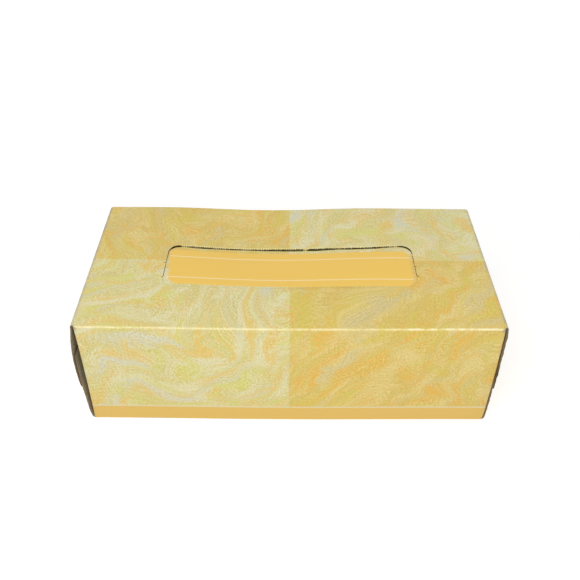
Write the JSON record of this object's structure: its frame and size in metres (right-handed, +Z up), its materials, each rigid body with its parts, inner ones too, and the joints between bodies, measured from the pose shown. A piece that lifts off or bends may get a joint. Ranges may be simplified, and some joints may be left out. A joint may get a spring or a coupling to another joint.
{
  "type": "tissue box",
  "caption": "Flat folded paperboard box of facial tissues with glued end flaps and a hinged, perforated tear-open lid in its top.",
  "frame": {"origin": "middle of the box's underside, on the surface that it stands on", "axes": "+Z up, X along the long side, the front panel faces -Y, so +Y points to the back"},
  "size_m": [0.2376, 0.1196, 0.0735],
  "materials": {
    "printed_board": "satin",
    "lid_board": "satin",
    "tissue_paper": "matte"
  },
  "bodies": {
    "box": {"carton": "printed_board", "tissue_stack": "tissue_paper"},
    "lid": {"tear_open_lid": "lid_board"}
  },
  "joints": [
    {"name": "lid_hinge", "type": "hinge", "parent": "box", "child": "lid", "pos_m": [0, -0.0232, 0.0735], "axis": [1, 0, 0], "range_deg": [0, 115]}
  ]
}
